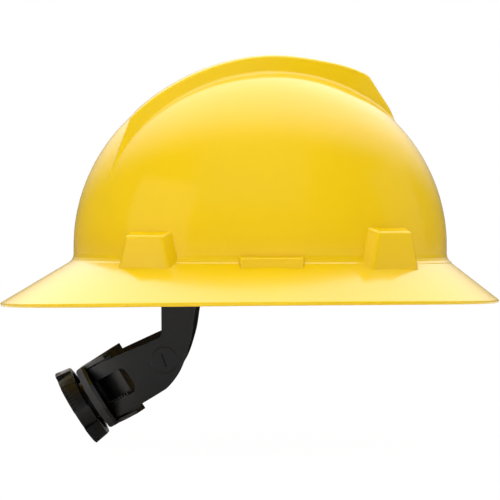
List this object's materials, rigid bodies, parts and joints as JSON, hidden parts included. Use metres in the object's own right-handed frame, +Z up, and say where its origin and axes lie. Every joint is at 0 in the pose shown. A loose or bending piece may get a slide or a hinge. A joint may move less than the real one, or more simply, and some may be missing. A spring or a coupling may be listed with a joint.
{
  "type": "full brim hard hat",
  "caption": "Full brim safety hard hat with a raised crown crest, webbing suspension inside and a knob-driven nape ratchet.",
  "frame": {"origin": "centre of the head opening, level with the rear edge of the brim", "axes": "+X to the front of the hat, +Y to the wearer's left, +Z up towards the crown"},
  "size_m": [0.3135, 0.28, 0.2433],
  "materials": {
    "shell_plastic": "gloss",
    "band_plastic": "satin",
    "strap_plastic": "satin",
    "housing_plastic": "satin",
    "knob_plastic": "satin",
    "white_plastic": "satin",
    "webbing": "woven",
    "pad_fabric": "soft",
    "screw_steel": "brushed"
  },
  "bodies": {
    "hat_shell": {"shell": "shell_plastic"},
    "suspension": {"headband": "band_plastic", "brow_pad": "pad_fabric", "front_left_key": "band_plastic", "front_right_key": "band_plastic", "rear_left_key": "band_plastic", "rear_right_key": "band_plastic", "crown_strap_lower": "webbing", "crown_strap_upper": "webbing"},
    "ratchet_housing": {"ratchet_cover": "housing_plastic", "ratchet_guide": "housing_plastic", "click_ring": "white_plastic"},
    "ratchet_knob": {"knob": "knob_plastic", "knob_cap": "knob_plastic", "knob_screw": "screw_steel", "pinion": "white_plastic", "pawl_spring": "white_plastic"},
    "left_nape_strap": {"nape_strap_left": "strap_plastic"},
    "right_nape_strap": {"nape_strap_right": "strap_plastic"}
  },
  "joints": [
    {"name": "suspension_pull", "type": "slide", "parent": "hat_shell", "child": "suspension", "axis": [0, 0, -1], "range_m": [0, 0.03]},
    {"name": "housing_slide", "type": "slide", "parent": "suspension", "child": "ratchet_housing", "axis": [0.8526, 0, 0.5225], "range_m": [0, 0.03612]},
    {"name": "knob_turn", "type": "hinge", "parent": "ratchet_housing", "child": "ratchet_knob", "pos_m": [-0.0923, 0, -0.0553], "axis": [0.8526, 0, 0.5225], "range_deg": [0, 297]},
    {"name": "left_strap_travel", "type": "hinge", "parent": "ratchet_housing", "child": "left_nape_strap", "pos_m": [-0.02588, 0, -0.0146], "axis": [-0.5225, 0, 0.8526], "range_deg": [0, 26.4]},
    {"name": "right_strap_travel", "type": "hinge", "parent": "ratchet_housing", "child": "right_nape_strap", "pos_m": [-0.02588, 0, -0.0146], "axis": [0.5225, 0, -0.8526], "range_deg": [0, 26]}
  ],
  "couplings": [
    {"joint": "knob_turn", "follows": "housing_slide", "rad_per_m": 143.47},
    {"joint": "left_strap_travel", "follows": "housing_slide", "rad_per_m": 12.721},
    {"joint": "right_strap_travel", "follows": "housing_slide", "rad_per_m": 12.391}
  ]
}
